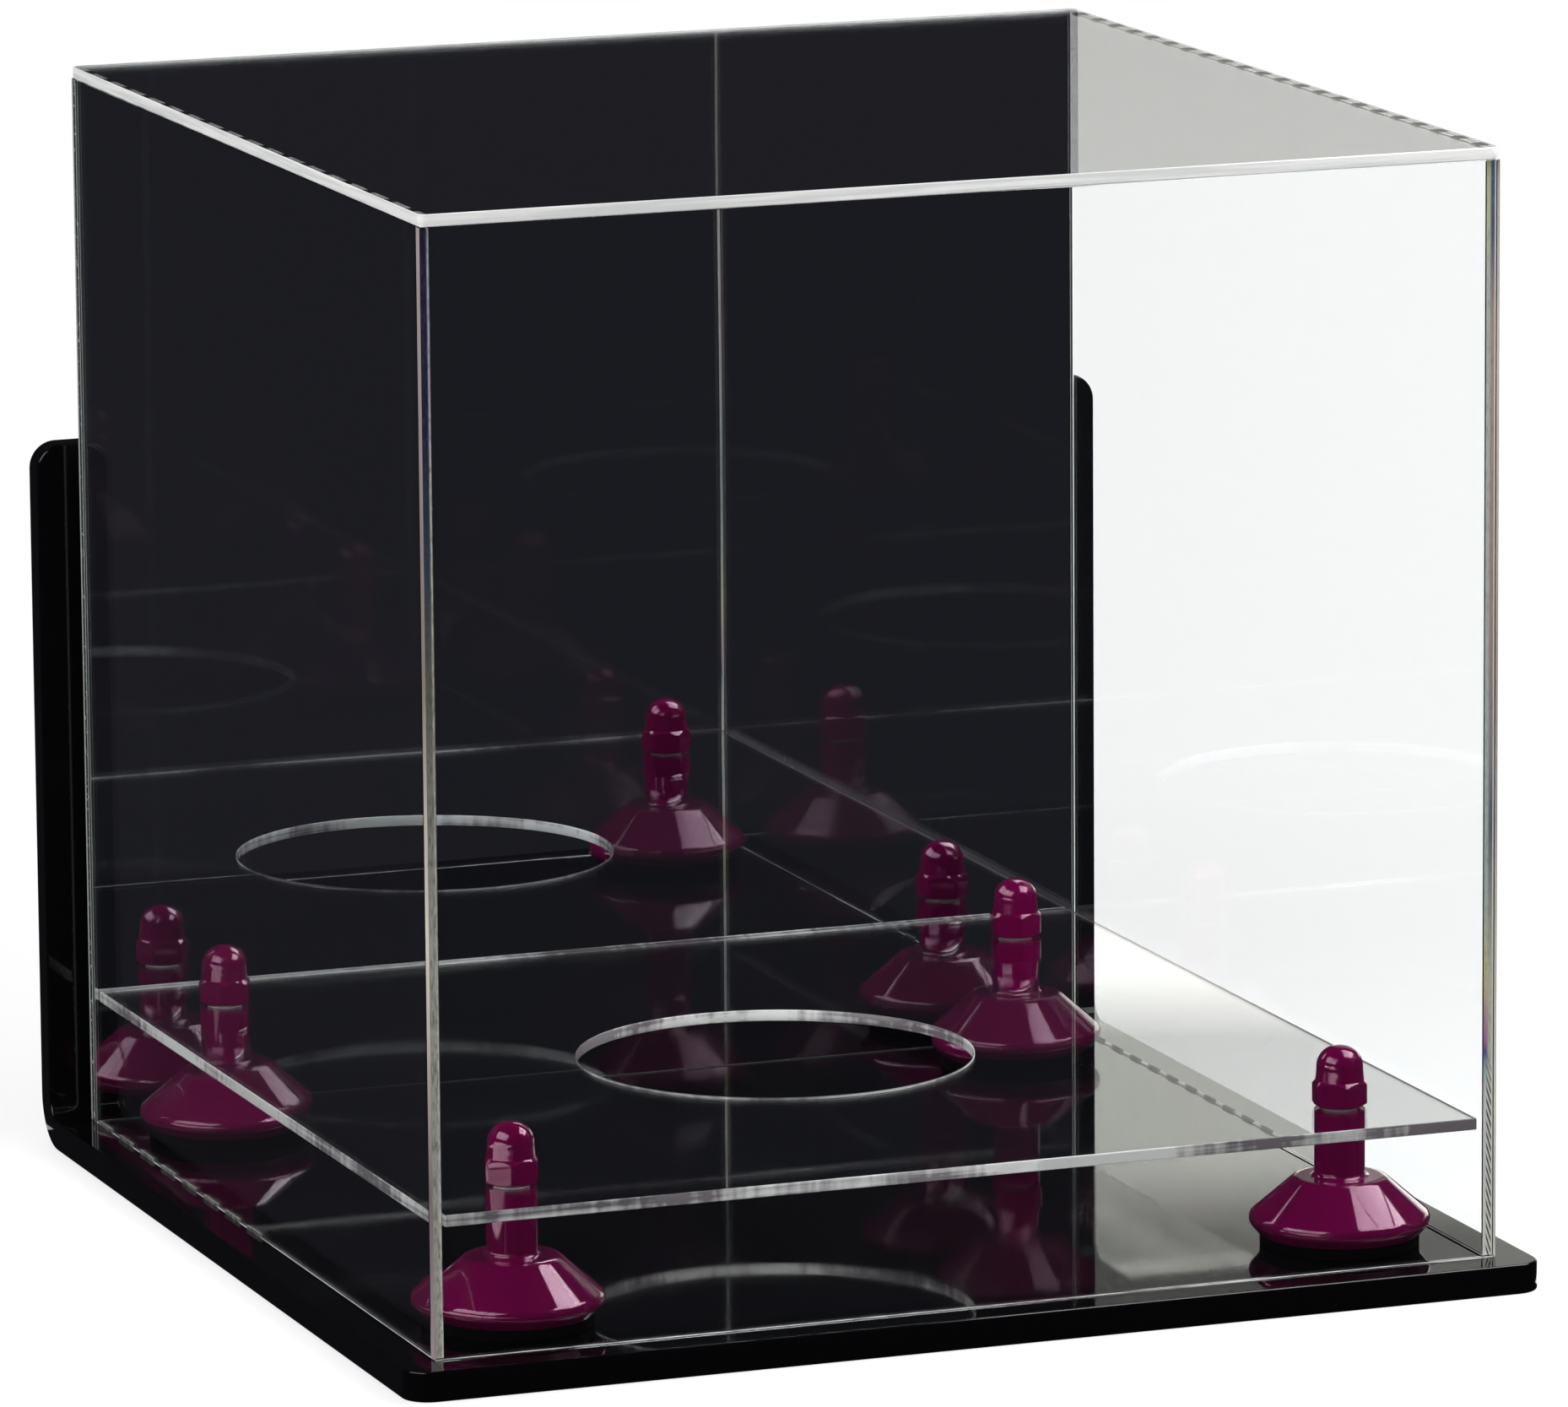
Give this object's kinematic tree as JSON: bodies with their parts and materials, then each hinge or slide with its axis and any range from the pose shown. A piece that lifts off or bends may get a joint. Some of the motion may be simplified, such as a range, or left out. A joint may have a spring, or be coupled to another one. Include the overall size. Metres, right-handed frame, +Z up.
{
  "type": "ball display case",
  "caption": "Clear acrylic ball display case with a lift-off cover, mirrored back, holed shelf on purple bell risers, and a black base bent up into a wall plate.",
  "frame": {"origin": "underside of the base, at the middle of its footprint", "axes": "+Z up, the direction the cover lifts; +Y towards the wall plate and the wall; -Y is the front; +X to the right seen from the front"},
  "size_m": [0.2984, 0.3024, 0.287],
  "materials": {
    "black_acrylic": "polished black cast acrylic sheet",
    "clear_acrylic": "polished clear acrylic sheet",
    "mirrored_acrylic": "mirrored acrylic sheet, silvered on its back",
    "purple_lacquer": "gloss purple lacquer",
    "black_rubber": "moulded black rubber",
    "zinc_steel": "bright zinc plated steel"
  },
  "bodies": {
    "base": {"cap_nut_front_left": "purple_lacquer", "cap_nut_front_right": "purple_lacquer", "cap_nut_rear_left": "purple_lacquer", "cap_nut_rear_right": "purple_lacquer", "display_shelf": "clear_acrylic", "pad_front_left": "black_rubber", "pad_front_right": "black_rubber", "pad_rear_left": "black_rubber", "pad_rear_right": "black_rubber", "riser_front_left": "purple_lacquer", "riser_front_right": "purple_lacquer", "riser_rear_left": "purple_lacquer", "riser_rear_right": "purple_lacquer", "screw_front_left": "zinc_steel", "screw_front_right": "zinc_steel", "screw_rear_left": "zinc_steel", "screw_rear_right": "zinc_steel", "wall_mount_base": "black_acrylic"},
    "cover": {"cover_top": "clear_acrylic", "cover_front": "clear_acrylic", "cover_left": "clear_acrylic", "cover_right": "clear_acrylic", "mirror_back_panel": "mirrored_acrylic"}
  },
  "joints": [
    {"name": "cover_lift", "type": "slide", "parent": "base", "child": "cover", "axis": [0, 0, 1], "range_m": [0, 0.3]}
  ]
}
